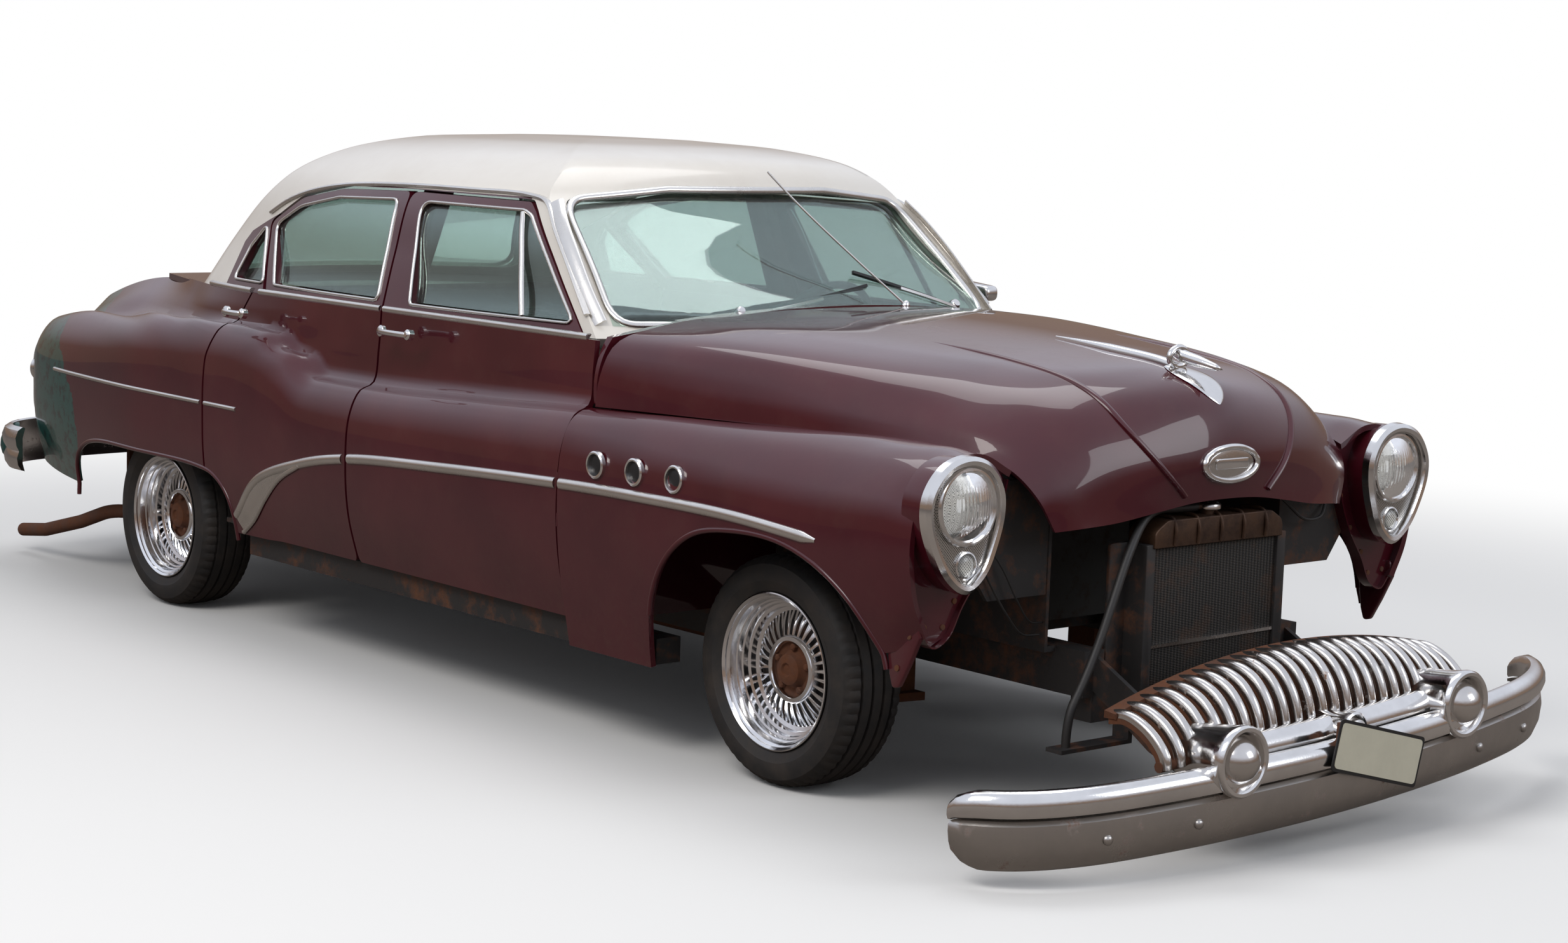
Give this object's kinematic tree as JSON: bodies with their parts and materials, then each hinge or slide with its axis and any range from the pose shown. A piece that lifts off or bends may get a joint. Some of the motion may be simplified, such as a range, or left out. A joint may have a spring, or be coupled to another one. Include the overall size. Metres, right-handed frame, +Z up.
{
  "type": "four-door saloon car of the early 1950s",
  "caption": "Full-size early 1950s four-door saloon with opening doors, side-hinged hood, trunk lid, steered wheels and a low-hung front bumper and bar grille.",
  "frame": {"origin": "on the floor under the middle of the wheelbase, which is also the bottom centre of the bounding box", "axes": "+X forward, +Y to the car's left, +Z up"},
  "size_m": [5.6386, 2.12, 1.6058],
  "materials": {
    "maroon_paint": "deep gloss, weathered",
    "white_paint": "gloss off-white",
    "clear_glass": "clear",
    "black_iron": "dusty black with rust",
    "bright_plate": "bright plating, pitted and stained",
    "tyre_black": "dusty black rubber",
    "hose_rubber": "satin black",
    "seat_cloth": "woven cloth",
    "dash_plastic": "semi gloss",
    "rusty_pipe": "rusty steel"
  },
  "bodies": {
    "root": {"body_glass": "clear_glass", "bumper_irons": "black_iron", "cowl": "maroon_paint", "dashboard": "dash_plastic", "engine": "black_iron", "exhaust": "rusty_pipe", "fender_left": "maroon_paint", "fender_right": "maroon_paint", "floor_pan": "black_iron", "frame": "black_iron", "front_bumper": "bright_plate", "front_seat": "seat_cloth", "front_suspension": "black_iron", "grille": "bright_plate", "headlamps": "bright_plate", "inner_fenders": "black_iron", "overflow_hose": "hose_rubber", "quarter_left": "maroon_paint", "quarter_right": "maroon_paint", "radiator": "black_iron", "rear_axle": "black_iron", "rear_bumper": "bright_plate", "rear_deck": "maroon_paint", "rear_seat": "seat_cloth", "roof_canopy": "white_paint"},
    "door_front_left": {"door_front_left": "maroon_paint", "door_glass_front_left": "clear_glass"},
    "door_rear_left": {"door_rear_left": "maroon_paint", "door_glass_rear_left": "clear_glass"},
    "knuckle_left": {"knuckle_left": "black_iron"},
    "wheel_front_left": {"tyre_front_left": "tyre_black", "rim_front_left": "bright_plate"},
    "wheel_rear_left": {"tyre_rear_left": "tyre_black", "rim_rear_left": "bright_plate"},
    "door_front_right": {"door_front_right": "maroon_paint", "door_glass_front_right": "clear_glass"},
    "door_rear_right": {"door_rear_right": "maroon_paint", "door_glass_rear_right": "clear_glass"},
    "knuckle_right": {"knuckle_right": "black_iron"},
    "wheel_front_right": {"tyre_front_right": "tyre_black", "rim_front_right": "bright_plate"},
    "wheel_rear_right": {"tyre_rear_right": "tyre_black", "rim_rear_right": "bright_plate"},
    "hood": {"hood": "maroon_paint"},
    "trunk_lid": {"trunk_lid": "maroon_paint"},
    "steering_wheel": {"steering_wheel": "dash_plastic"}
  },
  "joints": [
    {"name": "front_door_left_hinge", "type": "hinge", "parent": "root", "child": "door_front_left", "pos_m": [0.8325, 0.955, 0.7], "axis": [0, 0, -1], "range_deg": [0, 65]},
    {"name": "rear_door_left_hinge", "type": "hinge", "parent": "root", "child": "door_rear_left", "pos_m": [-0.2265, 0.955, 0.7], "axis": [0, 0, -1], "range_deg": [0, 65]},
    {"name": "front_door_right_hinge", "type": "hinge", "parent": "root", "child": "door_front_right", "pos_m": [0.8325, -0.955, 0.7], "axis": [0, 0, 1], "range_deg": [0, 65]},
    {"name": "rear_door_right_hinge", "type": "hinge", "parent": "root", "child": "door_rear_right", "pos_m": [-0.2265, -0.955, 0.7], "axis": [0, 0, 1], "range_deg": [0, 65]},
    {"name": "hood_hinge", "type": "hinge", "parent": "root", "child": "hood", "pos_m": [0.845, 0.856, 0.912], "axis": [-0.985, 0.1726, 0], "range_deg": [0, 45]},
    {"name": "trunk_hinge", "type": "hinge", "parent": "root", "child": "trunk_lid", "pos_m": [-1.953, 0, 1.082], "axis": [0, 1, 0], "range_deg": [0, 60]},
    {"name": "steer_left", "type": "hinge", "parent": "root", "child": "knuckle_left", "pos_m": [1.543, 0.61, 0.3], "axis": [0, 0, 1], "range_deg": [-28, 28]},
    {"name": "steer_right", "type": "hinge", "parent": "root", "child": "knuckle_right", "pos_m": [1.543, -0.61, 0.3], "axis": [0, 0, 1], "range_deg": [-28, 28]},
    {"name": "steering_wheel_turn", "type": "hinge", "parent": "root", "child": "steering_wheel", "pos_m": [0.3, 0.4, 1], "axis": [0.866, 0, -0.5], "range_deg": [-504, 504]},
    {"name": "roll_front_left", "type": "hinge", "parent": "knuckle_left", "child": "wheel_front_left", "pos_m": [1.543, 0.7, 0.3], "axis": [0, 1, 0], "continuous": true},
    {"name": "roll_front_right", "type": "hinge", "parent": "knuckle_right", "child": "wheel_front_right", "pos_m": [1.543, -0.7, 0.3], "axis": [0, 1, 0], "continuous": true},
    {"name": "roll_rear_left", "type": "hinge", "parent": "root", "child": "wheel_rear_left", "pos_m": [-1.543, 0.745, 0.3], "axis": [0, 1, 0], "continuous": true},
    {"name": "roll_rear_right", "type": "hinge", "parent": "root", "child": "wheel_rear_right", "pos_m": [-1.543, -0.745, 0.3], "axis": [0, 1, 0], "continuous": true}
  ],
  "couplings": [
    {"joint": "steer_right", "follows": "steer_left", "ratio": 1},
    {"joint": "steering_wheel_turn", "follows": "steer_left", "ratio": -18}
  ]
}
